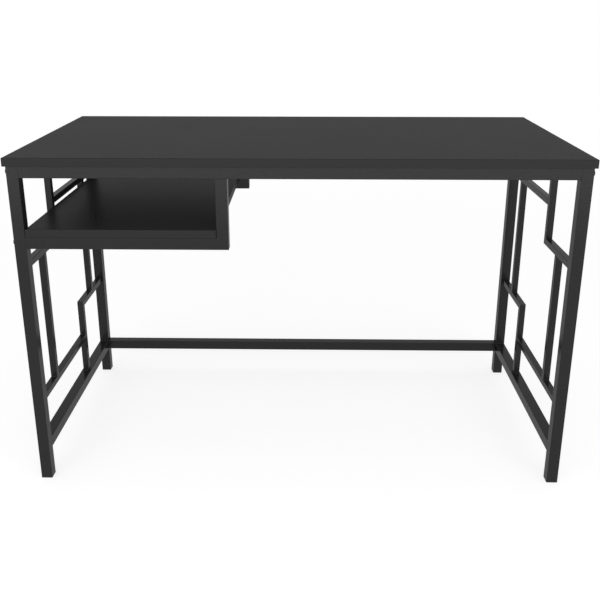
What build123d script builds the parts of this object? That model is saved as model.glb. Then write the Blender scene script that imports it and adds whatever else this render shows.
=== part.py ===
"""Computer desk with a square-tube steel frame and an open keyboard shelf.

Millimetres. The origin is on the floor under the middle of the desktop.
X runs to the right as the user sits, Y to the back and Z up.
"""

import os
from collections import namedtuple

from build123d import *

# Boards
DESK_WIDTH = 1200
DESK_DEPTH = 600
DESK_HEIGHT = 750
BOARD = 18
EDGE_STRIP = 2
EDGE_ROUND = 1.5
EDGE_CHAMFER = 0.5

# Steel frame of square tube, set back a little from the desktop's edges
TUBE_SIZE = 25
TUBE_WALL = 1.2
TUBE_ROUND = 1.2
OVERHANG = 5
FLOOR_TO_LOWER_RAIL = 70

# Thin bars of the key pattern in each side frame
BAR_SIZE = 15
BAR_WALL = 1
BAR_ROUND = 1
LATTICE_GAP = 92
LATTICE_STEP_Y = 91
LATTICE_STEP_Z = 93

# Open shelf, hung under the left end of the desktop
SHELF_HEIGHT = 599
SHELF_BAY = 400
SHELF_SIDE_GAP = 1

# Sides of the small holes and fasteners, which are drawn as prisms to keep the model light
HOLE_SIDES = 8
BOLT_HEAD_SIDES = 16
SCREW_SIDES = 8

# Plastic foot caps, pressed into the legs
CAP_FLANGE = 3
CAP_CHAMFER = 0.6
CAP_PLUG_SIZE = 20
CAP_PLUG_HEIGHT = 15
CAP_PLUG_WALL = 2
CAP_RIB = 1.2
CAP_RIB_STEP = 5
CAP_RIB_COUNT = 2

# M6 bolts with a low socket head, and the threaded plates in the tube ends
BOLT = 6
BOLT_HEAD = 11
BOLT_HEAD_HEIGHT = 4
BOLT_HEAD_CHAMFER = 0.6
SOCKET_WIDTH = 4
SOCKET_DEPTH = 2.4
FRAME_BOLT_LENGTH = 35
HANGER_BOLT_LENGTH = 12
BOLT_HOLE = 6.5
BOLT_ACCESS = 13
THREAD_HOLE = 6.1
PLATE = 3
NUT_WIDTH = 10
NUT_HEIGHT = 5

# Pan-head wood screws, driven from below through an access hole in the tube
SCREW = 4
SCREW_LENGTH = 16
SCREW_POINT = 1.6
SCREW_HEAD = 8
SCREW_HEAD_HEIGHT = 2.6
SCREW_HEAD_CHAMFER = 1.5
SCREW_HOLE = 4.6
SCREW_ACCESS = 9.5
PILOT_HOLE = 4.1
PILOT_DEPTH = 15
LONG_RAIL_SCREW_X = (-450, 0, 450)
SHELF_SCREW_X = (-470, -270)

# Places that follow from the sizes above
FRAME_TOP = DESK_HEIGHT - BOARD
OUTER_X = DESK_WIDTH / 2 - OVERHANG
OUTER_Y = DESK_DEPTH / 2 - OVERHANG
INNER_X = OUTER_X - TUBE_SIZE
INNER_Y = OUTER_Y - TUBE_SIZE
LEG_X = OUTER_X - TUBE_SIZE / 2
LEG_Y = OUTER_Y - TUBE_SIZE / 2
TOP_RAIL_Z = FRAME_TOP - TUBE_SIZE / 2
TOP_RAIL_UNDER = FRAME_TOP - TUBE_SIZE
LOWER_RAIL_Z = FLOOR_TO_LOWER_RAIL + TUBE_SIZE / 2
LOWER_RAIL_TOP = FLOOR_TO_LOWER_RAIL + TUBE_SIZE
SHELF_UNDER = SHELF_HEIGHT - BOARD
SHELF_RAIL_Z = SHELF_UNDER - TUBE_SIZE / 2
SHELF_RAIL_UNDER = SHELF_UNDER - TUBE_SIZE
SHELF_X = -INNER_X + SHELF_BAY / 2
HANGER_X = -INNER_X + SHELF_BAY + TUBE_SIZE / 2
TUBE_BORE = TUBE_SIZE - 2 * TUBE_WALL

# Centre lines of the key pattern, which looks the same turned half round about the middle of the panel
LATTICE_MIDDLE_Z = (TOP_RAIL_UNDER + LOWER_RAIL_TOP) / 2
HALF_BAR = BAR_SIZE / 2
WIDE_POST_Y = INNER_Y - LATTICE_GAP - HALF_BAR
NEAR_POST_Y = WIDE_POST_Y - LATTICE_STEP_Y
LONG_BAR_Z = LOWER_RAIL_TOP + LATTICE_GAP + HALF_BAR
ARM_Z = TOP_RAIL_UNDER - LATTICE_GAP - HALF_BAR - LATTICE_STEP_Z

Section = namedtuple("Section", "size wall corner")
Drill = namedtuple("Drill", "diameter depth places")
Mitre = namedtuple("Mitre", "plane keep")

TUBE = Section(TUBE_SIZE, TUBE_WALL, TUBE_ROUND)
BAR = Section(BAR_SIZE, BAR_WALL, BAR_ROUND)
ALONG = {"x": Plane.YZ, "y": Plane.ZX, "z": Plane.XY}
SIDES = (("left", -1), ("right", 1))
ENDS = (("front", -1), ("rear", 1))
UP = (0, 0, 1)
DOWN = (0, 0, -1)


def save(piece, name):
    piece.part.label = name
    export_step(piece.part, f"parts/{name}.step")


def save_group(solid, places, name):
    """One node of like pieces, a separate solid at each place."""
    with BuildPart() as group:
        with Locations(*places):
            add(solid)
    save(group, name)


def facing(direction, points):
    """Planes at the points, each with its normal along the direction."""
    return [Plane(origin=point, z_dir=direction) for point in points]


def cut_holes(diameter, depth, places):
    """Cut a hole into the part at each plane, from the plane down."""
    with BuildSketch(*places) as outline:
        RegularPolygon(diameter / 2, HOLE_SIDES, major_radius=False)
    extrude(outline.sketch, amount=-depth, mode=Mode.SUBTRACT)


def tube(section, axis, start, length, drills=(), mitre=None):
    """Square tube with rounded outer corners, drilled through its walls and mitred where asked."""
    along = ALONG[axis]
    bore = section.size - 2 * section.wall
    with BuildPart() as piece:
        with BuildSketch(Plane(start, x_dir=along.x_dir, z_dir=along.z_dir)):
            RectangleRounded(section.size, section.size, section.corner)
            Rectangle(bore, bore, mode=Mode.SUBTRACT)
        extrude(amount=length)
        for drill in drills:
            cut_holes(*drill)
        if mitre:
            split(bisect_by=mitre.plane, keep=mitre.keep)
    return piece


def screw_drills(under, points):
    """Small holes in a rail's upper wall for wood screws, and access holes below them."""
    places = facing(DOWN, [(x, y, under) for x, y in points])
    return [Drill(SCREW_HOLE, TUBE_SIZE, places), Drill(SCREW_ACCESS, TUBE_SIZE / 2, places)]


def hanger_drills(y):
    """Hole in a top rail's lower wall for a hanger bolt, and an access hole above it for the head."""
    place = facing(UP, [(HANGER_X, y, FRAME_TOP)])
    return [Drill(BOLT_HOLE, TUBE_SIZE, place), Drill(BOLT_ACCESS, TUBE_SIZE / 2, place)]


def board(size_x, size_y, centre_x, under, pilots):
    """Board core without its edge strips, with blind pilot holes in its underside."""
    with BuildPart() as piece:
        with BuildSketch(Plane((centre_x, 0, under))):
            Rectangle(size_x - 2 * EDGE_STRIP, size_y - 2 * EDGE_STRIP)
        extrude(amount=BOARD)
        cut_holes(PILOT_HOLE, PILOT_DEPTH, facing(DOWN, [(x, y, under) for x, y in pilots]))
    return piece


def save_edge_strips(prefix, size_x, size_y, centre_x, under):
    """Edge strips, rounded above and eased below. The front and rear ones cover the ends of the side ones."""
    reach_x = (size_x - EDGE_STRIP) / 2
    reach_y = (size_y - EDGE_STRIP) / 2
    long_edge_and_ends, long_edge = 3, 1
    strips = [
        (end, Axis.Y, sign, (centre_x, sign * reach_y), (size_x, EDGE_STRIP), long_edge_and_ends)
        for end, sign in ENDS
    ]
    strips += [
        (side, Axis.X, sign, (centre_x + sign * reach_x, 0), (EDGE_STRIP, size_y - 2 * EDGE_STRIP), long_edge)
        for side, sign in SIDES
    ]
    for name, outward, sign, (x, y), footprint, exposed in strips:
        with BuildPart() as strip:
            with BuildSketch(Plane((x, y, under))):
                Rectangle(*footprint)
            extrude(amount=BOARD)
            lower_face, *_, upper_face = strip.faces().sort_by(Axis.Z)
            lower_edges, upper_edges = (
                face.edges().sort_by(outward, reverse=sign > 0)[:exposed] for face in (lower_face, upper_face)
            )
            fillet(upper_edges, EDGE_ROUND)
            chamfer(lower_edges, EDGE_CHAMFER)
        save(strip, f"{prefix}_{name}_edge_strip")


def foot_cap(x, y):
    """Square cap with a flange under the tube and a hollow ribbed plug inside it."""
    plug_bore = CAP_PLUG_SIZE - 2 * CAP_PLUG_WALL
    with BuildPart() as piece:
        with BuildSketch(Plane((x, y, 0))):
            RectangleRounded(TUBE_SIZE, TUBE_SIZE, TUBE_ROUND)
        extrude(amount=CAP_FLANGE)
        chamfer(piece.faces().sort_by(Axis.Z)[0].edges(), CAP_CHAMFER)
        with BuildSketch(Plane((x, y, CAP_FLANGE))):
            Rectangle(CAP_PLUG_SIZE, CAP_PLUG_SIZE)
        extrude(amount=CAP_PLUG_HEIGHT)
        for rib in range(1, CAP_RIB_COUNT + 1):
            with BuildSketch(Plane((x, y, CAP_FLANGE + rib * CAP_RIB_STEP - CAP_RIB))):
                Rectangle(TUBE_BORE, TUBE_BORE)
            extrude(amount=CAP_RIB)
        with BuildSketch(Plane((x, y, CAP_FLANGE))):
            Rectangle(plug_bore, plug_bore)
        extrude(amount=CAP_PLUG_HEIGHT, mode=Mode.SUBTRACT)
    return piece


def bolt(length):
    """Bolt with its head up and its bearing face at the origin."""
    with BuildPart() as piece:
        with BuildSketch():
            RegularPolygon(BOLT_HEAD / 2, BOLT_HEAD_SIDES)
        extrude(amount=BOLT_HEAD_HEIGHT)
        chamfer(piece.faces().sort_by(Axis.Z)[-1].edges(), BOLT_HEAD_CHAMFER)
        with BuildSketch():
            RegularPolygon(BOLT / 2, HOLE_SIDES)
        extrude(amount=-length)
        with BuildSketch(Plane.XY.offset(BOLT_HEAD_HEIGHT)):
            RegularPolygon(SOCKET_WIDTH / 2, 6, major_radius=False)
        extrude(amount=-SOCKET_DEPTH, mode=Mode.SUBTRACT)
    return piece.part


def end_plate():
    """Plate that closes a tube, flush with its end at the origin, with a nut welded behind it."""
    with BuildPart() as piece:
        with BuildSketch():
            Rectangle(TUBE_BORE, TUBE_BORE)
        extrude(amount=-PLATE)
        with BuildSketch(Plane.XY.offset(-PLATE)):
            RegularPolygon(NUT_WIDTH / 2, 6, major_radius=False)
        extrude(amount=-NUT_HEIGHT)
        cut_holes(THREAD_HOLE, PLATE + NUT_HEIGHT, [Plane.XY])
    return piece.part


def wood_screw():
    """Pan-head screw with its point up and its bearing face at the origin."""
    with BuildPart() as piece:
        with BuildSketch():
            RegularPolygon(SCREW / 2, SCREW_SIDES)
        extrude(amount=SCREW_LENGTH)
        chamfer(piece.faces().sort_by(Axis.Z)[-1].edges(), SCREW_POINT)
        with BuildSketch():
            RegularPolygon(SCREW_HEAD / 2, SCREW_SIDES)
        extrude(amount=-SCREW_HEAD_HEIGHT)
        chamfer(piece.faces().sort_by(Axis.Z)[0].edges(), SCREW_HEAD_CHAMFER)
    return piece.part


def half_turn(point):
    """The place that a point of the side panel takes when the panel is turned half round."""
    y, z = point
    return (-y, 2 * LATTICE_MIDDLE_Z - z)


def lattice_bar(x, end_a, end_b, corner=None):
    """Bar between two points of the side panel, mitred where it turns a corner into the next bar."""
    (y0, z0), (y1, z1) = sorted((end_a, end_b))
    axis = "y" if z0 == z1 else "z"
    mitre = None
    if corner:
        beyond_corner = (y0 + y1) / 2 - corner[0] + (z0 + z1) / 2 - corner[1] > 0
        diagonal = Plane(origin=(x, *corner), z_dir=(0, 1, 1))
        mitre = Mitre(diagonal, Keep.TOP if beyond_corner else Keep.BOTTOM)
    return tube(BAR, axis, (x, y0, z0), (y1 - y0) + (z1 - z0), mitre=mitre)


def save_lattice(side, x):
    """Eight bars of one side frame: four are drawn, and the other four are their half turns."""
    near, wide = -NEAR_POST_Y, -WIDE_POST_Y
    arm_under = ARM_Z - HALF_BAR
    corner = (near, ARM_Z)
    bars = [
        ("upper_post", "lower_post", (near, TOP_RAIL_UNDER), (near, arm_under), corner),
        ("front_arm", "rear_arm", (-INNER_Y, ARM_Z), (near + HALF_BAR, ARM_Z), corner),
        ("front_post", "rear_post", (wide, arm_under), (wide, LONG_BAR_Z + HALF_BAR), None),
        ("front_bar", "rear_bar", (-INNER_Y, LONG_BAR_Z), (NEAR_POST_Y - HALF_BAR, LONG_BAR_Z), None),
    ]
    for name, turned_name, end_a, end_b, mitre_at in bars:
        save(lattice_bar(x, end_a, end_b, mitre_at), f"{side}_lattice_{name}")
        turned_mitre = half_turn(mitre_at) if mitre_at else None
        turned = lattice_bar(x, half_turn(end_a), half_turn(end_b), turned_mitre)
        save(turned, f"{side}_lattice_{turned_name}")


os.makedirs("parts", exist_ok=True)

# Rail ends that are bolted through the legs: side, depth and height of each
rail_ends = [(sign, end * LEG_Y, TOP_RAIL_Z) for _, sign in SIDES for _, end in ENDS]
rail_ends += [(sign, LEG_Y, LOWER_RAIL_Z) for _, sign in SIDES]
rail_ends += [(-1, end * LEG_Y, SHELF_RAIL_Z) for _, end in ENDS]

# Welded side frames, with a foot cap in each leg
for side, sign in SIDES:
    for end, end_sign in ENDS:
        x, y = sign * LEG_X, end_sign * LEG_Y
        bolted = [(sign * OUTER_X, y, z) for leg, depth, z in rail_ends if (leg, depth) == (sign, y)]
        bolt_holes = Drill(BOLT_HOLE, TUBE_SIZE, facing((sign, 0, 0), bolted))
        leg = tube(TUBE, "z", (x, y, CAP_FLANGE), FRAME_TOP - CAP_FLANGE, [bolt_holes])
        save(leg, f"{side}_{end}_leg")
        save(foot_cap(x, y), f"{side}_{end}_foot_cap")
    screw_holes = screw_drills(TOP_RAIL_UNDER, [(sign * LEG_X, 0)])
    top_rail = tube(TUBE, "y", (sign * LEG_X, -INNER_Y, TOP_RAIL_Z), 2 * INNER_Y, screw_holes)
    save(top_rail, f"{side}_top_side_rail")
    lower_rail = tube(TUBE, "y", (sign * LEG_X, -INNER_Y, LOWER_RAIL_Z), 2 * INNER_Y)
    save(lower_rail, f"{side}_lower_side_rail")
    save_lattice(side, sign * LEG_X)

# Rails between the side frames, and the hung shelf frame
for end, end_sign in ENDS:
    y = end_sign * LEG_Y
    long_drills = screw_drills(TOP_RAIL_UNDER, [(x, y) for x in LONG_RAIL_SCREW_X]) + hanger_drills(y)
    long_rail = tube(TUBE, "x", (-INNER_X, y, TOP_RAIL_Z), 2 * INNER_X, long_drills)
    save(long_rail, f"{end}_top_rail")
    diagonal = Plane(origin=(HANGER_X, y, SHELF_RAIL_Z), z_dir=(1, 0, 1))
    shelf_drills = screw_drills(SHELF_RAIL_UNDER, [(x, y) for x in SHELF_SCREW_X])
    shelf_rail_start = (-INNER_X, y, SHELF_RAIL_Z)
    shelf_rail = tube(
        TUBE, "x", shelf_rail_start, SHELF_BAY + TUBE_SIZE, shelf_drills, Mitre(diagonal, Keep.BOTTOM)
    )
    save(shelf_rail, f"{end}_shelf_rail")
    hanger_start = (HANGER_X, y, SHELF_RAIL_UNDER)
    hanger_length = TOP_RAIL_UNDER - SHELF_RAIL_UNDER
    hanger = tube(TUBE, "z", hanger_start, hanger_length, mitre=Mitre(diagonal, Keep.TOP))
    save(hanger, f"{end}_shelf_hanger")
save(tube(TUBE, "x", (-INNER_X, LEG_Y, LOWER_RAIL_Z), 2 * INNER_X), "rear_stretcher")

# Desktop and shelf boards with their edge strips
desktop_screws = [(x, end * LEG_Y) for x in LONG_RAIL_SCREW_X for _, end in ENDS]
desktop_screws += [(sign * LEG_X, 0) for _, sign in SIDES]
save(board(DESK_WIDTH, DESK_DEPTH, 0, FRAME_TOP, desktop_screws), "desktop")
save_edge_strips("desktop", DESK_WIDTH, DESK_DEPTH, 0, FRAME_TOP)

shelf_width = SHELF_BAY - 2 * SHELF_SIDE_GAP
shelf_depth = 2 * OUTER_Y
shelf_screws = [(x, end * LEG_Y) for x in SHELF_SCREW_X for _, end in ENDS]
save(board(shelf_width, shelf_depth, SHELF_X, SHELF_UNDER, shelf_screws), "shelf_board")
save_edge_strips("shelf", shelf_width, shelf_depth, SHELF_X, SHELF_UNDER)

# Fasteners: the frame bolts come in from outside, the others sit inside the tubes
bolt_places = [Plane(origin=(sign * OUTER_X, y, z), z_dir=(sign, 0, 0)) for sign, y, z in rail_ends]
plate_places = [Plane(origin=(sign * INNER_X, y, z), z_dir=(sign, 0, 0)) for sign, y, z in rail_ends]
save_group(bolt(FRAME_BOLT_LENGTH), bolt_places, "frame_bolts")
save_group(end_plate(), plate_places, "rail_end_plates")

hanger_tops = [(HANGER_X, end * LEG_Y, TOP_RAIL_UNDER) for _, end in ENDS]
hanger_bolt_places = [(x, y, z + TUBE_WALL) for x, y, z in hanger_tops]
save_group(bolt(HANGER_BOLT_LENGTH), facing(UP, hanger_bolt_places), "hanger_bolts")
save_group(end_plate(), facing(UP, hanger_tops), "hanger_end_plates")

for name, points, under in (
    ("desktop_screws", desktop_screws, FRAME_TOP),
    ("shelf_screws", shelf_screws, SHELF_UNDER),
):
    save_group(wood_screw(), facing(UP, [(x, y, under - TUBE_WALL) for x, y in points]), name)
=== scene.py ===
"""Finishes, bolts, weld beads and studio stage of a computer desk with a tube frame and an open shelf."""

import math
from collections import namedtuple

import bmesh
import bpy
from bpy.props import FloatProperty, FloatVectorProperty, IntProperty, PointerProperty
from mathutils import Matrix, Vector


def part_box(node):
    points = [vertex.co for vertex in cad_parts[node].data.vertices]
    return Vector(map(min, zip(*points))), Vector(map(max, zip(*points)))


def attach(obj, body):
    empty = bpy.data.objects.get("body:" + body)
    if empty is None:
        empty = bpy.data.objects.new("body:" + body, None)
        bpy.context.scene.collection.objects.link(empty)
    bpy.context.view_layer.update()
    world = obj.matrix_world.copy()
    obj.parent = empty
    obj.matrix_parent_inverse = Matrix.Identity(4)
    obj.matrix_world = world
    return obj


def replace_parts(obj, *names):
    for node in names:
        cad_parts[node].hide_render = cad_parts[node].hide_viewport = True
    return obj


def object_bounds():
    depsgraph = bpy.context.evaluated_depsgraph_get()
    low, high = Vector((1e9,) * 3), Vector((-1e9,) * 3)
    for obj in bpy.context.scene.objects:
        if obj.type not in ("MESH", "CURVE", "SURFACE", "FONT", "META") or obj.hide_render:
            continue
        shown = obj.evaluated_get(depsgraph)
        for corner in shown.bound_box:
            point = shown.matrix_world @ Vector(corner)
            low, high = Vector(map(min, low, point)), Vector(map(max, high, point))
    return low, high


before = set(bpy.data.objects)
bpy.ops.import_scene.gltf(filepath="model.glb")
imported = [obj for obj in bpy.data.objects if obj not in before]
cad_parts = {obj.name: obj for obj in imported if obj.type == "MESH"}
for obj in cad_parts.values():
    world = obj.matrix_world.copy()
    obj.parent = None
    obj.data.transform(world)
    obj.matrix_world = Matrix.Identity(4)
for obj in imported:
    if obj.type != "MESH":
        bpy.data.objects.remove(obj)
CAD_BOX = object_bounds()

bl_info = {
    "name": "Tube-frame computer desk",
    "version": (1, 0, 0),
    "blender": (4, 5, 0),
    "location": "View3D > Sidebar > Desk",
    "description": "Dresses the desk's boards, steel frame and fasteners, and lights it in a white studio",
    "category": "Object",
}

MM = 0.001

# Axes of a box, its two ends along an axis, and the direction in which each end faces
X, Y, Z = 0, 1, 2
UNITS = (Vector((1, 0, 0)), Vector((0, 1, 0)), Vector((0, 0, 1)))
LOW, HIGH = 0, 1
OUTWARD = {LOW: -1, HIGH: 1}

# Two places count as one when they are closer than this
TOUCHING = 0.001 * MM

# Edges sharper than this stay crisp on a smooth piece
CRISP_ANGLE = math.radians(35)

# The floor lies this far below the feet, so that no two faces share a plane
FLOOR_GAP = 0.1 * MM

# Width of the camera's sensor in millimetres, as Blender counts it
SENSOR_WIDTH = 36

# Tubes of the welded side frames and tubes bolted between them, by the ends of their names
WELDED_TUBES = ("_leg", "_side_rail", "_post", "_arm", "_bar")
BOLTED_TUBES = ("_top_rail", "_shelf_rail", "_hanger", "_stretcher")

# Rails whose ends are bolted through the legs, with the sides where a bolt goes in
LEFT, RIGHT = -1, 1
BOLTED_RAILS = {
    "front_top_rail": (LEFT, RIGHT),
    "rear_top_rail": (LEFT, RIGHT),
    "rear_stretcher": (LEFT, RIGHT),
    "front_shelf_rail": (LEFT,),
    "rear_shelf_rail": (LEFT,),
}

# A weld bead: the corner that it fills, the two directions that lead out of that corner, its radius,
# and the length of the tube's side that it runs along
Weld = namedtuple("Weld", "corner away over radius run")


class BoardSettings(bpy.types.PropertyGroup):
    """Charcoal melamine faces of the desktop and the shelf, and the strips on their edges"""

    colour: FloatVectorProperty(
        name="Board colour", description="Colour of the melamine faces",
        subtype="COLOR", size=3, min=0, max=1, default=(0.03, 0.03, 0.031),
    )
    gloss: FloatProperty(
        name="Board gloss", description="Strength of the satin sheen on the melamine faces",
        subtype="FACTOR", min=0, max=1, default=0.18,
    )
    roughness: FloatProperty(
        name="Board roughness", description="How blurred the sheen of the melamine faces is",
        subtype="FACTOR", min=0, max=1, default=0.34,
    )
    pore_size: FloatProperty(
        name="Pore size", description="Width of the fine pores pressed into the melamine",
        unit="LENGTH", min=0.1 * MM, default=0.9 * MM,
    )
    strip_colour: FloatVectorProperty(
        name="Strip colour", description="Colour of the plastic edge strips",
        subtype="COLOR", size=3, min=0, max=1, default=(0.0245, 0.0245, 0.0255),
    )
    strip_gloss: FloatProperty(
        name="Strip gloss", description="Strength of the satin sheen on the edge strips",
        subtype="FACTOR", min=0, max=1, default=0.22,
    )
    strip_roughness: FloatProperty(
        name="Strip roughness", description="How blurred the sheen of the edge strips is",
        subtype="FACTOR", min=0, max=1, default=0.32,
    )


class FrameSettings(bpy.types.PropertyGroup):
    """Powder coat of the steel tubes and the plastic of the foot caps"""

    colour: FloatVectorProperty(
        name="Paint colour", description="Colour of the powder coat on the tubes",
        subtype="COLOR", size=3, min=0, max=1, default=(0.021, 0.021, 0.0215),
    )
    gloss: FloatProperty(
        name="Paint gloss", description="Strength of the semi-gloss sheen on the powder coat",
        subtype="FACTOR", min=0, max=1, default=0.33,
    )
    roughness: FloatProperty(
        name="Paint roughness", description="How blurred the sheen of the powder coat is",
        subtype="FACTOR", min=0, max=1, default=0.2,
    )
    peel_size: FloatProperty(
        name="Peel size", description="Width of the fine orange-peel waves in the powder coat",
        unit="LENGTH", min=0.1 * MM, default=1.4 * MM,
    )
    cap_colour: FloatVectorProperty(
        name="Foot cap colour", description="Colour of the moulded foot caps",
        subtype="COLOR", size=3, min=0, max=1, default=(0.02, 0.02, 0.02),
    )
    cap_roughness: FloatProperty(
        name="Foot cap roughness", description="How matt the moulded foot caps are",
        subtype="FACTOR", min=0, max=1, default=0.55,
    )


class WeldSettings(bpy.types.PropertyGroup):
    """Sizes of the small beads where the tubes of a side frame meet"""

    radius: FloatProperty(
        name="Bead radius", description="Radius of the beads in the corners between the tubes",
        unit="LENGTH", min=0.2 * MM, default=2.2 * MM,
    )
    pitch: FloatProperty(
        name="Ripple pitch", description="Distance between the ripples of a bead",
        unit="LENGTH", min=0.2 * MM, default=1.4 * MM,
    )
    gap: FloatProperty(
        name="End gap", description="Length of a tube's side that a bead leaves free at each end",
        unit="LENGTH", min=0, default=1.6 * MM,
    )
    sink: FloatProperty(
        name="Bead sink", description="How deep a bead goes into the tubes that it joins",
        unit="LENGTH", min=0, default=0.2 * MM,
    )
    tube_corner: FloatProperty(
        name="Tube corner", description="Radius of the tubes' rounded corners, which flush beads fill",
        unit="LENGTH", min=0, default=1.2 * MM,
    )


class FastenerSettings(bpy.types.PropertyGroup):
    """Sizes of the frame bolts and the plating of all fasteners"""

    head: FloatProperty(
        name="Bolt head", description="Diameter of the low bolt heads on the legs",
        unit="LENGTH", min=1 * MM, default=11 * MM,
    )
    head_edge: FloatProperty(
        name="Head edge", description="Width of the rounded edge of a bolt head",
        unit="LENGTH", min=0, default=0.7 * MM,
    )
    socket: FloatProperty(
        name="Key socket", description="Width of the hexagonal key socket across its flats",
        unit="LENGTH", min=0.5 * MM, default=4 * MM,
    )
    socket_depth: FloatProperty(
        name="Socket depth", description="Depth of the hexagonal key socket",
        unit="LENGTH", min=0.5 * MM, default=2.4 * MM,
    )
    socket_rim: FloatProperty(
        name="Socket rim", description="Diameter of the round rim about the key socket",
        unit="LENGTH", min=1 * MM, default=6 * MM,
    )
    shank: FloatProperty(
        name="Bolt shank", description="Diameter of the bolt shanks",
        unit="LENGTH", min=1 * MM, default=6 * MM,
    )
    shank_tip: FloatProperty(
        name="Shank tip", description="Width of the bevel at the end of a bolt shank",
        unit="LENGTH", min=0, default=0.8 * MM,
    )
    shank_reach: FloatProperty(
        name="Shank reach", description="How far a bolt shank goes into the end of its rail",
        unit="LENGTH", min=0, default=10 * MM,
    )
    round_steps: IntProperty(
        name="Round steps", description="Steps in a full turn of a bolt, a multiple of six",
        min=12, default=48,
    )
    bolt_colour: FloatVectorProperty(
        name="Bolt colour", description="Colour of the black zinc on the bolts",
        subtype="COLOR", size=3, min=0, max=1, default=(0.06, 0.06, 0.062),
    )
    screw_colour: FloatVectorProperty(
        name="Screw colour", description="Colour of the zinc on the wood screws",
        subtype="COLOR", size=3, min=0, max=1, default=(0.45, 0.44, 0.4),
    )
    plate_colour: FloatVectorProperty(
        name="Plate colour", description="Colour of the bare steel plates in the tube ends",
        subtype="COLOR", size=3, min=0, max=1, default=(0.3, 0.3, 0.3),
    )


class StageSettings(bpy.types.PropertyGroup):
    """White studio floor, soft light and the camera at the photograph's viewpoint"""

    floor_colour: FloatVectorProperty(
        name="Floor colour", description="Colour of the pale studio floor",
        subtype="COLOR", size=3, min=0, max=1, default=(0.85, 0.85, 0.85),
    )
    floor_size: FloatProperty(
        name="Floor size", description="Width of the square floor",
        unit="LENGTH", min=2, default=60,
    )
    floor_white: FloatProperty(
        name="Floor white", description="Share of plain white in the floor as the camera sees it",
        subtype="FACTOR", min=0, max=1, default=0.4,
    )
    floor_lift: FloatProperty(
        name="Floor lift", description="Light added to the lit floor that the camera sees, up to white",
        min=0, default=0.56,
    )
    fade_start: FloatProperty(
        name="Fade start", description="Distance at which the floor begins to turn plain white",
        unit="LENGTH", min=0, default=1.2,
    )
    fade_end: FloatProperty(
        name="Fade end", description="Distance beyond which the floor is plain white",
        unit="LENGTH", min=0, default=4.0,
    )
    sky_level: FloatProperty(
        name="Sky level", description="Strength of the even white light from all round",
        min=0, default=0.45,
    )
    ceiling_level: FloatProperty(
        name="Ceiling level", description="Brightness of the ceiling in reflections, with walls at 1",
        subtype="FACTOR", min=0, max=1, default=0.65,
    )
    ceiling_start: FloatProperty(
        name="Ceiling start", description="Height angle at which the white walls begin to dim",
        subtype="ANGLE", unit="ROTATION", default=math.radians(20),
    )
    ceiling_end: FloatProperty(
        name="Ceiling end", description="Height angle from which the ceiling is evenly dim",
        subtype="ANGLE", unit="ROTATION", default=math.radians(37),
    )
    key_power: FloatProperty(
        name="Key power", description="Power of the wide soft box in front of the desk",
        unit="POWER", min=0, default=45,
    )
    key_size: FloatVectorProperty(
        name="Key size", description="Width and height of the soft box",
        unit="LENGTH", size=2, min=0.1, default=(5.0, 1.9),
    )
    key_place: FloatVectorProperty(
        name="Key place", description="Where the middle of the soft box stands",
        subtype="TRANSLATION", unit="LENGTH", size=3, default=(0.0, -2.5, 0.96),
    )
    camera_place: FloatVectorProperty(
        name="Camera place", description="Where the camera stands",
        subtype="TRANSLATION", unit="LENGTH", size=3, default=(0.02566, -1.87474, 1.05532),
    )
    camera_pitch: FloatProperty(
        name="Camera pitch", description="How far the camera looks down from level",
        subtype="ANGLE", unit="ROTATION", default=0.3255,
    )
    camera_turn: FloatProperty(
        name="Camera turn", description="How far the camera turns to the left",
        subtype="ANGLE", unit="ROTATION", default=0.017,
    )
    camera_lens: FloatProperty(
        name="Camera lens", description="Focal length on a sensor 36 mm wide",
        unit="CAMERA", min=1, default=47.664,
    )
    camera_shift: FloatVectorProperty(
        name="Camera shift", description="Sideways and upward shift of the lens, in frame widths",
        size=2, default=(0.0039, -0.0567),
    )


class Channel:
    """One output of a node. Sums on it add Math nodes to the same tree."""

    def __init__(self, builder, socket):
        self.builder = builder
        self.socket = socket

    def __add__(self, other):
        return self.builder.maths("ADD", self, other)

    def __sub__(self, other):
        return self.builder.maths("SUBTRACT", self, other)

    def __rsub__(self, other):
        return self.builder.maths("SUBTRACT", other, self)

    def __mul__(self, other):
        return self.builder.maths("MULTIPLY", self, other)

    __radd__ = __add__
    __rmul__ = __mul__


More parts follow.
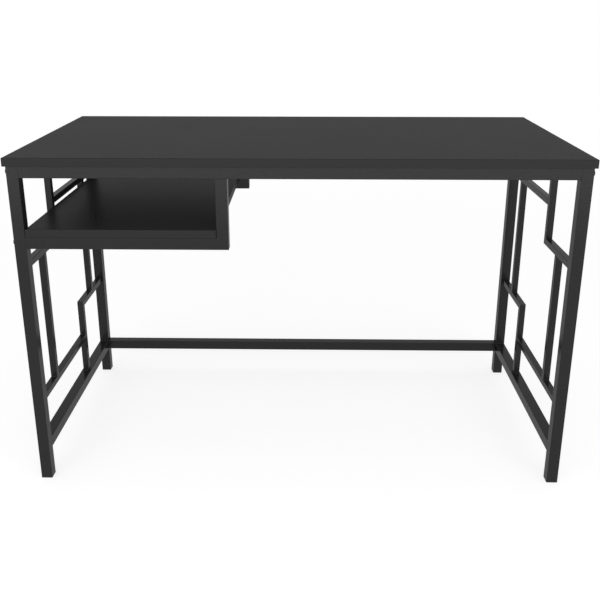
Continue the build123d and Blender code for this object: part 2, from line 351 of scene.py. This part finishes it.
class NodeBuilder:
    """Adds nodes to one material's or world's tree."""

    def __init__(self, owner):
        owner.use_nodes = True
        self.owner = owner
        self.tree = owner.node_tree
        self.tree.nodes.clear()

    def node(self, kind, settings=None, inputs=None, output=0):
        """A node with its settings made first and then its sockets. Returns one of its outputs, if any."""
        made = self.tree.nodes.new(kind)
        for name, value in (settings or {}).items():
            setattr(made, name, value)
        for name, value in (inputs or {}).items():
            if isinstance(value, Channel):
                self.tree.links.new(value.socket, made.inputs[name])
            else:
                made.inputs[name].default_value = value
        return Channel(self, made.outputs[output]) if made.outputs else None

    def maths(self, operation, first, second):
        return self.node("ShaderNodeMath", {"operation": operation}, {0: first, 1: second})

    def smooth_step(self, value, start, end):
        """Zero up to the start, one from the end, with a soft rise between them."""
        settings = {"interpolation_type": "SMOOTHSTEP"}
        inputs = {"Value": value, "From Min": start, "From Max": end}
        return self.node("ShaderNodeMapRange", settings, inputs)

    def place(self):
        """Object coordinates, which are metres in the desk's own frame."""
        return self.node("ShaderNodeTexCoord", output="Object")

    def noise(self, size, detail=2.0, stretch=(1, 1, 1)):
        """Soft noise whose features are about as wide as the given size, drawn out along some axes."""
        scaled = {"Vector": self.place(), "Scale": stretch}
        place = self.node("ShaderNodeMapping", {"vector_type": "POINT"}, scaled)
        inputs = {"Vector": place, "Scale": 1 / size, "Detail": detail}
        return self.node("ShaderNodeTexNoise", inputs=inputs)

    def crisp_noise(self, size, detail, blur):
        """Noise with clearer features: its values within the blur are spread from zero to one."""
        return self.smooth_step(self.noise(size, detail), 0.5 - blur / 2, 0.5 + blur / 2)

    def vary(self, mean, *swings):
        """A mean value that textures swing up and down, each given with its full swing."""
        lowest = mean - sum(swing for texture, swing in swings) / 2
        return sum((swing * texture for texture, swing in swings), lowest)

    def tint(self, colour, shade):
        """A colour made lighter or darker by a value around one."""
        return self.node("ShaderNodeVectorMath", {"operation": "SCALE"}, {0: colour, "Scale": shade})

    def bump(self, height, distance, strength):
        inputs = {"Height": height, "Distance": distance, "Strength": strength}
        return self.node("ShaderNodeBump", inputs=inputs)

    def ray(self, kind):
        """One for rays of the given kind, else zero."""
        return self.node("ShaderNodeLightPath", output=kind)

    def seen_ray(self):
        """One for rays that the camera sees straight on, mirrored or through glass, else zero."""
        seen = self.ray("Is Camera Ray") + self.ray("Is Glossy Ray") + self.ray("Is Transmission Ray")
        return self.maths("MINIMUM", seen, 1.0)

    def mix(self, share, first, second):
        """The first shader, of which the given share gives way to the second."""
        return self.node("ShaderNodeMixShader", inputs={"Fac": share, 1: first, 2: second})

    def surface(self, shader):
        """Ends the tree with a shader and returns its material or world."""
        is_world = isinstance(self.owner, bpy.types.World)
        kind = "ShaderNodeOutputWorld" if is_world else "ShaderNodeOutputMaterial"
        self.node(kind, inputs={"Surface": shader})
        return self.owner

    def coated_surface(self, colour, roughness, gloss, gloss_roughness, normal):
        """A dark finish whose sheen comes from a thin clear coat alone."""
        return self.surface(self.node("ShaderNodeBsdfPrincipled", inputs={
            "Base Color": colour,
            "Roughness": roughness,
            "Specular IOR Level": 0.0,
            "Coat Weight": gloss,
            "Coat Roughness": gloss_roughness,
            "Normal": normal,
        }))


def new_finish(name):
    return NodeBuilder(bpy.data.materials.new(name))


def melamine(boards):
    """Charcoal melamine with fine pressed pores and a faint cloudiness."""
    build = new_finish("charcoal_melamine")
    pores = build.crisp_noise(boards.pore_size, detail=3.0, blur=0.3)
    cloud = build.noise(180 * MM)
    return build.coated_surface(
        colour=build.tint(boards.colour, build.vary(1, (pores, 0.16), (cloud, 0.06))),
        roughness=build.vary(boards.roughness, (pores, 0.06), (cloud, 0.04)),
        gloss=boards.gloss * build.vary(1, (pores, 0.4), (cloud, 0.1)),
        gloss_roughness=boards.roughness,
        normal=build.bump(pores, distance=0.04 * MM, strength=0.5),
    )


def strip_plastic(boards):
    """Satin plastic of the edge strips, with faint streaks along their length."""
    build = new_finish("charcoal_edge_strip")
    streaks = build.noise(0.7 * MM, stretch=(0.02, 0.02, 1))
    return build.coated_surface(
        colour=build.tint(boards.strip_colour, build.vary(1, (streaks, 0.1))),
        roughness=build.vary(boards.strip_roughness, (streaks, 0.08)),
        gloss=boards.strip_gloss * build.vary(1, (streaks, 0.2)),
        gloss_roughness=boards.strip_roughness,
        normal=build.bump(streaks, distance=0.02 * MM, strength=0.3),
    )


def powder_coat(tubes):
    """Black powder coat with a fine orange peel and a slightly uneven gloss."""
    build = new_finish("black_powder_coat")
    peel = build.crisp_noise(tubes.peel_size, detail=1.0, blur=0.4)
    specks = build.noise(0.35 * MM, detail=1.0)
    cloud = build.noise(90 * MM)
    return build.coated_surface(
        colour=build.tint(tubes.colour, build.vary(1, (peel, 0.12), (specks, 0.1), (cloud, 0.08))),
        roughness=build.vary(tubes.roughness, (cloud, 0.06), (specks, 0.04)),
        gloss=tubes.gloss * build.vary(1, (peel, 0.36), (specks, 0.12), (cloud, 0.08)),
        gloss_roughness=tubes.roughness,
        normal=build.bump(peel + 0.4 * specks, distance=0.06 * MM, strength=0.5),
    )


def moulded_plastic(tubes):
    """Black moulded plastic with a fine spark-eroded grain."""
    build = new_finish("black_moulded_plastic")
    grain = build.noise(0.45 * MM, detail=3.0)
    return build.surface(build.node("ShaderNodeBsdfPrincipled", inputs={
        "Base Color": build.tint(tubes.cap_colour, build.vary(1, (grain, 0.3))),
        "Roughness": build.vary(tubes.cap_roughness, (grain, 0.1)),
        "Specular IOR Level": 0.3,
        "Normal": build.bump(grain, distance=0.05 * MM, strength=0.5),
    }))


def plated_steel(name, colour, roughness, patch_size):
    """Plated or bare steel with cloudy patches and fine scratches, made once for each name."""
    if name in bpy.data.materials:
        return bpy.data.materials[name]
    build = new_finish(name)
    patches = build.noise(patch_size, detail=3.0)
    scratches = build.noise(0.25 * MM, stretch=(1, 0.08, 0.08))
    return build.surface(build.node("ShaderNodeBsdfPrincipled", inputs={
        "Base Color": build.tint(colour, build.vary(1, (patches, 0.25), (scratches, 0.15))),
        "Metallic": 1.0,
        "Roughness": build.vary(roughness, (patches, 0.12), (scratches, 0.06)),
        "Normal": build.bump(scratches, distance=0.01 * MM, strength=0.3),
    }))


def black_zinc(fasteners):
    return plated_steel("black_zinc", fasteners.bolt_colour, roughness=0.36, patch_size=2 * MM)


def bright_zinc(fasteners):
    return plated_steel("bright_zinc", fasteners.screw_colour, roughness=0.33, patch_size=2 * MM)


def bare_steel(fasteners):
    return plated_steel("bare_steel", fasteners.plate_colour, roughness=0.51, patch_size=6 * MM)


def studio_white(stage):
    """Pale floor, white in reflections and to the camera, where it keeps the desk's soft shadow."""
    build = new_finish("studio_floor")
    dust = build.noise(400 * MM)
    lit = build.node("ShaderNodeBsdfPrincipled", inputs={
        "Base Color": build.tint(stage.floor_colour, build.vary(1, (dust, 0.04))),
        "Roughness": 1.0,
        "Specular IOR Level": 0.0,
    })
    lift = build.node("ShaderNodeEmission", inputs={"Strength": stage.floor_lift})
    lifted = build.node("ShaderNodeAddShader", inputs={0: lit, 1: lift})
    white = build.node("ShaderNodeEmission", inputs={"Strength": 1.0})
    far = build.node("ShaderNodeVectorMath", {"operation": "LENGTH"}, {0: build.place()}, output="Value")
    near = 1 - build.smooth_step(far, stage.fade_start, stage.fade_end)
    seen = build.mix(build.ray("Is Camera Ray") * (1 - stage.floor_white) * near, white, lifted)
    return build.surface(build.mix(build.seen_ray(), lit, seen))


def studio_sky(stage):
    """World that lights the desk evenly, and looks like white walls under a dimmer ceiling."""
    build = NodeBuilder(bpy.data.worlds.new("studio_sky"))

    def glow(level):
        return build.node("ShaderNodeBackground", inputs={"Color": (1, 1, 1, 1), "Strength": level})

    # In a world, Object coordinates are a ray's direction, so their Z is the sine of its height angle
    height = build.node("ShaderNodeSeparateXYZ", inputs={"Vector": build.place()}, output="Z")
    raised = build.smooth_step(height, math.sin(stage.ceiling_start), math.sin(stage.ceiling_end))
    seen = build.mix(raised, glow(1.0), glow(stage.ceiling_level))
    return build.surface(build.mix(build.seen_ray(), glow(stage.sky_level), seen))


def close_to(value, target):
    return abs(value - target) < TOUCHING


def pieces_ending(*endings):
    """CAD pieces whose names end in one of the given words."""
    found = [piece for name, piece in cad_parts.items() if name.endswith(endings)]
    if not found:
        raise RuntimeError(f"the frame has no piece ending in {endings}")
    return found


def dress(pieces, material):
    """Puts a material on every slot of the given CAD pieces."""
    for piece in pieces:
        for slot in piece.material_slots:
            slot.material = material


def parts_of(geometry, kind):
    """The vertices, edges or faces among the parts that a bmesh operator gives back."""
    return [part for part in geometry if isinstance(part, kind)]


def join_shapes(shapes):
    """One bmesh that takes over all the given ones."""
    joined = bmesh.new()
    scratch = bpy.data.meshes.new("scratch")
    for shape in shapes:
        shape.to_mesh(scratch)
        shape.free()
        joined.from_mesh(scratch)
    bpy.data.meshes.remove(scratch)
    return joined


def link_object(name, data):
    """An object at the origin that shows the given data in the scene."""
    made = bpy.data.objects.new(name, data)
    bpy.context.scene.collection.objects.link(made)
    return made


def link_mesh(name, shape, material):
    """An object at the origin that takes over a bmesh as its mesh."""
    mesh = bpy.data.meshes.new(name)
    shape.to_mesh(mesh)
    shape.free()
    mesh.materials.append(material)
    return link_object(name, mesh)


def add_piece(name, shape, material):
    """Makes a bmesh into a smooth piece that rides on the desk."""
    for face in shape.faces:
        face.smooth = True
    piece = link_mesh(name, shape, material)
    piece.data.set_sharp_from_angle(angle=CRISP_ANGLE)
    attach(piece, "root")
    return piece


def turned_bolt(sizes, head_height, length):
    """Shank and head of a bolt along +Z, open inside the rim of its key socket."""
    shape = bmesh.new()
    head, shank, rim = sizes.head / 2, sizes.shank / 2, sizes.socket_rim / 2
    profile = [
        (0, -length), (shank - sizes.shank_tip, -length), (shank, sizes.shank_tip - length), (shank, 0),
        (head, 0), (head, head_height), (rim, head_height),
    ]
    points = [shape.verts.new((radius, 0, height)) for radius, height in profile]
    line = [shape.edges.new(pair) for pair in zip(points, points[1:])]
    bmesh.ops.spin(
        shape, geom=points + line, axis=(0, 0, 1), cent=(0, 0, 0),
        angle=math.tau, steps=sizes.round_steps, use_merge=True,
    )
    bmesh.ops.remove_doubles(shape, verts=shape.verts, dist=TOUCHING)
    return shape


def add_key_socket(shape, sizes, head_height):
    """Closes the open top of a bolt with a hexagonal socket."""
    rim = [edge for edge in shape.edges if edge.is_boundary]
    top = Matrix.Translation((0, 0, head_height))
    bmesh.ops.create_circle(shape, segments=6, radius=sizes.socket / math.sqrt(3), matrix=top)
    flats = [edge for edge in shape.edges if edge.is_wire]
    bmesh.ops.subdivide_edges(shape, edges=flats, cuts=sizes.round_steps // 6 - 1)
    mouth = [edge for edge in shape.edges if edge.is_wire]
    bmesh.ops.bridge_loops(shape, edges=rim + mouth)
    walls = bmesh.ops.extrude_edge_only(shape, edges=mouth)["geom"]
    bmesh.ops.translate(shape, verts=parts_of(walls, bmesh.types.BMVert), vec=(0, 0, -sizes.socket_depth))
    bmesh.ops.edgeloop_fill(shape, edges=parts_of(walls, bmesh.types.BMEdge))


def round_head(shape, sizes, head_height):
    """Rounds the outer edge on top of a bolt's head."""
    def on_edge(vert):
        return close_to(vert.co.z, head_height) and close_to(vert.co.xy.length, sizes.head / 2)

    edge_loop = [edge for edge in shape.edges if all(on_edge(vert) for vert in edge.verts)]
    bmesh.ops.bevel(
        shape, geom=edge_loop, offset=sizes.head_edge,
        segments=4, profile=0.5, affect="EDGES", material=-1,
    )


def frame_bolt(sizes, rail, side):
    """A bolt with its head on a leg's outer face and its shank in the end of a rail."""
    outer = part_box("right_front_leg")[HIGH].x
    head_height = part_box("frame_bolts")[HIGH].x - outer
    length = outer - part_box("front_top_rail")[HIGH].x + sizes.shank_reach
    shape = turned_bolt(sizes, head_height, length)
    add_key_socket(shape, sizes, head_height)
    round_head(shape, sizes, head_height)
    bmesh.ops.recalc_face_normals(shape, faces=shape.faces)

    low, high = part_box(rail)
    middle = (low + high) / 2
    turn = Matrix.Rotation(side * math.pi / 2, 4, "Y")
    place = Matrix.Translation((side * outer, middle.y, middle.z)) @ turn
    bmesh.ops.transform(shape, matrix=place, verts=shape.verts)
    return shape


def weld_bead(radius, length, pitch):
    """One rippled bead along X, a quarter round that fills the corner between the Y and Z axes."""
    shape = bmesh.new()
    ripples = max(2, round(length / pitch))
    tip, valley, crest = 0.5, 0.85, 1.0
    widths = [tip] + [crest, valley] * (ripples - 1) + [crest, tip]
    step = length / (len(widths) - 1)
    rim = shape.verts.new((-length / 2, tip * radius, 0))
    bmesh.ops.spin(shape, geom=[rim], axis=(1, 0, 0), cent=(0, 0, 0), angle=math.pi / 2, steps=4)
    shape.verts.new((-length / 2, 0, 0))
    end = bmesh.ops.contextual_create(shape, geom=shape.verts[:])["faces"][0]
    ring = end.edges[:]
    for before, after in zip(widths, widths[1:]):
        grown = bmesh.ops.extrude_edge_only(shape, edges=ring)["geom"]
        ring = parts_of(grown, bmesh.types.BMEdge)
        verts = parts_of(grown, bmesh.types.BMVert)
        bmesh.ops.translate(shape, verts=verts, vec=(step, 0, 0))
        bmesh.ops.scale(shape, verts=verts, vec=(1, after / before, after / before))
    bmesh.ops.edgeloop_fill(shape, edges=ring)
    bmesh.ops.recalc_face_normals(shape, faces=shape.faces)
    return shape


def placed_bead(sizes, weld):
    """A bead turned into its corner and sunk a little into both tubes."""
    bead = weld_bead(weld.radius, weld.run - 2 * sizes.gap, sizes.pitch)
    turn = Matrix((weld.away.cross(weld.over), weld.away, weld.over)).transposed().to_4x4()
    place = Matrix.Translation(weld.corner - sizes.sink * (weld.away + weld.over)) @ turn
    bmesh.ops.transform(bead, matrix=place, verts=bead.verts)
    return bead


def carrier_of(box, axis, end, boxes):
    """Box of the tube whose side a tube's end meets, or nothing where that end is mitred."""
    across = Y + Z - axis
    middle = (box[LOW][across] + box[HIGH][across]) / 2
    facing = HIGH if end == LOW else LOW
    for other in boxes:
        touches = close_to(other[facing][axis], box[end][axis])
        if touches and other[LOW][across] < middle < other[HIGH][across]:
            return other
    return None


def joint_welds(sizes, box, carrier, axis, end):
    """Beads where a tube's end meets the side of its carrier."""
    across = Y + Z - axis
    extent = box[HIGH] - box[LOW]
    inward = -OUTWARD[end] * UNITS[axis]
    middle = (box[LOW] + box[HIGH]) / 2
    middle[axis] = box[end][axis]
    groove_radius = sizes.tube_corner + 2 * sizes.sink
    welds = []
    for edge in (LOW, HIGH):
        # In the corner beside the tube, where its carrier goes on past it
        away = OUTWARD[edge] * UNITS[across]
        if away.dot(carrier[edge] - box[edge]) > sizes.radius:
            corner = middle + away * extent[across] / 2
            welds.append(Weld(corner, away, inward, sizes.radius, extent[X]))

        # In the groove that the carrier's rounded corner leaves between two flush faces
        away = OUTWARD[edge] * UNITS[X]
        if close_to(carrier[edge][X], box[edge][X]):
            groove = middle + away * (extent[X] / 2 - sizes.tube_corner)
            welds.append(Weld(groove, away, -inward, groove_radius, extent[across]))
    return welds


def frame_welds(sizes, side):
    """Every bead of one side frame."""
    names = [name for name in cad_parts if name.startswith(side) and name.endswith(WELDED_TUBES)]
    boxes = [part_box(name) for name in names]
    welds = []
    for box in boxes:
        extent = box[HIGH] - box[LOW]
        axis = Y if extent.y > extent.z else Z
        for end in (LOW, HIGH):
            carrier = carrier_of(box, axis, end, boxes)
            if carrier is not None:
                welds += joint_welds(sizes, box, carrier, axis, end)
    if not welds:
        raise RuntimeError(f"no tubes meet in the {side} side frame")
    return welds


def add_floor(stage):
    shape = bmesh.new()
    bmesh.ops.create_grid(shape, x_segments=1, y_segments=1, size=stage.floor_size / 2)
    bmesh.ops.translate(shape, verts=shape.verts, vec=(0, 0, -FLOOR_GAP))
    floor = link_mesh("studio_floor", shape, studio_white(stage))


def add_key_light(stage):
    """Wide soft box in front of the desk, turned to the desk's middle."""
    light = bpy.data.lights.new("soft_key", "AREA")
    light.shape = "RECTANGLE"
    light.size, light.size_y = stage.key_size
    light.energy = stage.key_power
    lamp = link_object("soft_key", light)
    lamp.location = stage.key_place
    middle = (CAD_BOX[LOW] + CAD_BOX[HIGH]) / 2
    lamp.rotation_euler = (middle - lamp.location).to_track_quat("-Z", "Y").to_euler()
    lamp.visible_camera = False


def add_camera(stage):
    lens = bpy.data.cameras.new("viewpoint")
    lens.lens = stage.camera_lens
    lens.sensor_width = SENSOR_WIDTH
    lens.shift_x, lens.shift_y = stage.camera_shift
    camera = link_object("viewpoint", lens)
    camera.location = stage.camera_place
    camera.rotation_euler = (math.pi / 2 - stage.camera_pitch, 0, stage.camera_turn)
    return camera


class DESK_OT_boards(bpy.types.Operator):
    """Finish the desktop and the shelf board in charcoal melamine"""

    bl_idname = "desk.boards"
    bl_label = "Boards"
    bl_options = {"REGISTER", "UNDO"}

    def execute(self, context):
        dress(pieces_ending("desktop", "shelf_board"), melamine(context.scene.desk_boards))
        return {"FINISHED"}


class DESK_OT_edge_strips(bpy.types.Operator):
    """Finish the strips on the edges of both boards"""

    bl_idname = "desk.edge_strips"
    bl_label = "Edge strips"
    bl_options = {"REGISTER", "UNDO"}

    def execute(self, context):
        dress(pieces_ending("edge_strip"), strip_plastic(context.scene.desk_boards))
        return {"FINISHED"}


class DESK_OT_tubes(bpy.types.Operator):
    """Finish the legs, rails, hangers and the key pattern in black powder coat"""

    bl_idname = "desk.tubes"
    bl_label = "Steel tubes"
    bl_options = {"REGISTER", "UNDO"}

    def execute(self, context):
        dress(pieces_ending(*WELDED_TUBES, *BOLTED_TUBES), powder_coat(context.scene.desk_frame))
        return {"FINISHED"}


class DESK_OT_weld_beads(bpy.types.Operator):
    """Model the small painted welds where the tubes of each side frame meet"""

    bl_idname = "desk.weld_beads"
    bl_label = "Weld beads"
    bl_options = {"REGISTER", "UNDO"}

    def execute(self, context):
        sizes = context.scene.desk_welds
        welds = frame_welds(sizes, "left") + frame_welds(sizes, "right")
        beads = join_shapes(placed_bead(sizes, weld) for weld in welds)
        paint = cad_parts["left_front_leg"].material_slots[0].material
        add_piece("weld_beads", beads, paint)
        return {"FINISHED"}


class DESK_OT_foot_caps(bpy.types.Operator):
    """Finish the moulded caps under the legs"""

    bl_idname = "desk.foot_caps"
    bl_label = "Foot caps"
    bl_options = {"REGISTER", "UNDO"}

    def execute(self, context):
        dress(pieces_ending("foot_cap"), moulded_plastic(context.scene.desk_frame))
        return {"FINISHED"}


class DESK_OT_frame_bolts(bpy.types.Operator):
    """Model the socket-head bolts that hold the rails between the legs"""

    bl_idname = "desk.frame_bolts"
    bl_label = "Frame bolts"
    bl_options = {"REGISTER", "UNDO"}

    def execute(self, context):
        sizes = context.scene.desk_fasteners
        places = [(rail, side) for rail, sides in BOLTED_RAILS.items() for side in sides]
        bolts = join_shapes(frame_bolt(sizes, rail, side) for rail, side in places)
        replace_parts(add_piece("socket_head_bolts", bolts, black_zinc(sizes)), "frame_bolts")
        return {"FINISHED"}


class DESK_OT_inner_fasteners(bpy.types.Operator):
    """Finish the fasteners inside the tubes: screws, hanger bolts and threaded end plates"""

    bl_idname = "desk.inner_fasteners"
    bl_label = "Inner fasteners"
    bl_options = {"REGISTER", "UNDO"}

    def execute(self, context):
        fasteners = context.scene.desk_fasteners
        dress(pieces_ending("_screws"), bright_zinc(fasteners))
        dress(pieces_ending("hanger_bolts"), black_zinc(fasteners))
        dress(pieces_ending("_end_plates"), bare_steel(fasteners))
        return {"FINISHED"}


class DESK_OT_stage(bpy.types.Operator):
    """Build the white floor, the soft light and the camera"""

    bl_idname = "desk.stage"
    bl_label = "Studio stage"
    bl_options = {"REGISTER", "UNDO"}

    def execute(self, context):
        scene = context.scene
        add_floor(scene.desk_stage)
        scene.world = studio_sky(scene.desk_stage)
        add_key_light(scene.desk_stage)
        scene.camera = add_camera(scene.desk_stage)
        scene.view_settings.view_transform = "Standard"
        return {"FINISHED"}


OPERATORS = (
    DESK_OT_boards,
    DESK_OT_edge_strips,
    DESK_OT_tubes,
    DESK_OT_weld_beads,
    DESK_OT_foot_caps,
    DESK_OT_frame_bolts,
    DESK_OT_inner_fasteners,
    DESK_OT_stage,
)


class DESK_PT_pieces(bpy.types.Panel):
    """Lists the desk's pieces in the order in which they are made"""

    bl_idname = "DESK_PT_pieces"
    bl_label = "Computer desk"
    bl_space_type = "VIEW_3D"
    bl_region_type = "UI"
    bl_category = "Desk"

    def draw(self, context):
        for operator in OPERATORS:
            self.layout.operator(operator.bl_idname)


SETTINGS = {
    "desk_boards": BoardSettings,
    "desk_frame": FrameSettings,
    "desk_welds": WeldSettings,
    "desk_fasteners": FastenerSettings,
    "desk_stage": StageSettings,
}
CLASSES = (*SETTINGS.values(), *OPERATORS, DESK_PT_pieces)


def register():
    for item in CLASSES:
        bpy.utils.register_class(item)
    for name, group in SETTINGS.items():
        setattr(bpy.types.Scene, name, PointerProperty(type=group))


def unregister():
    for name in SETTINGS:
        delattr(bpy.types.Scene, name)
    for item in reversed(CLASSES):
        bpy.utils.unregister_class(item)


def main():
    register()
    bpy.ops.desk.boards()
    bpy.ops.desk.edge_strips()
    bpy.ops.desk.tubes()
    bpy.ops.desk.weld_beads()
    bpy.ops.desk.foot_caps()
    bpy.ops.desk.frame_bolts()
    bpy.ops.desk.inner_fasteners()
    bpy.ops.desk.stage()


if __name__ == "__main__":
    main()
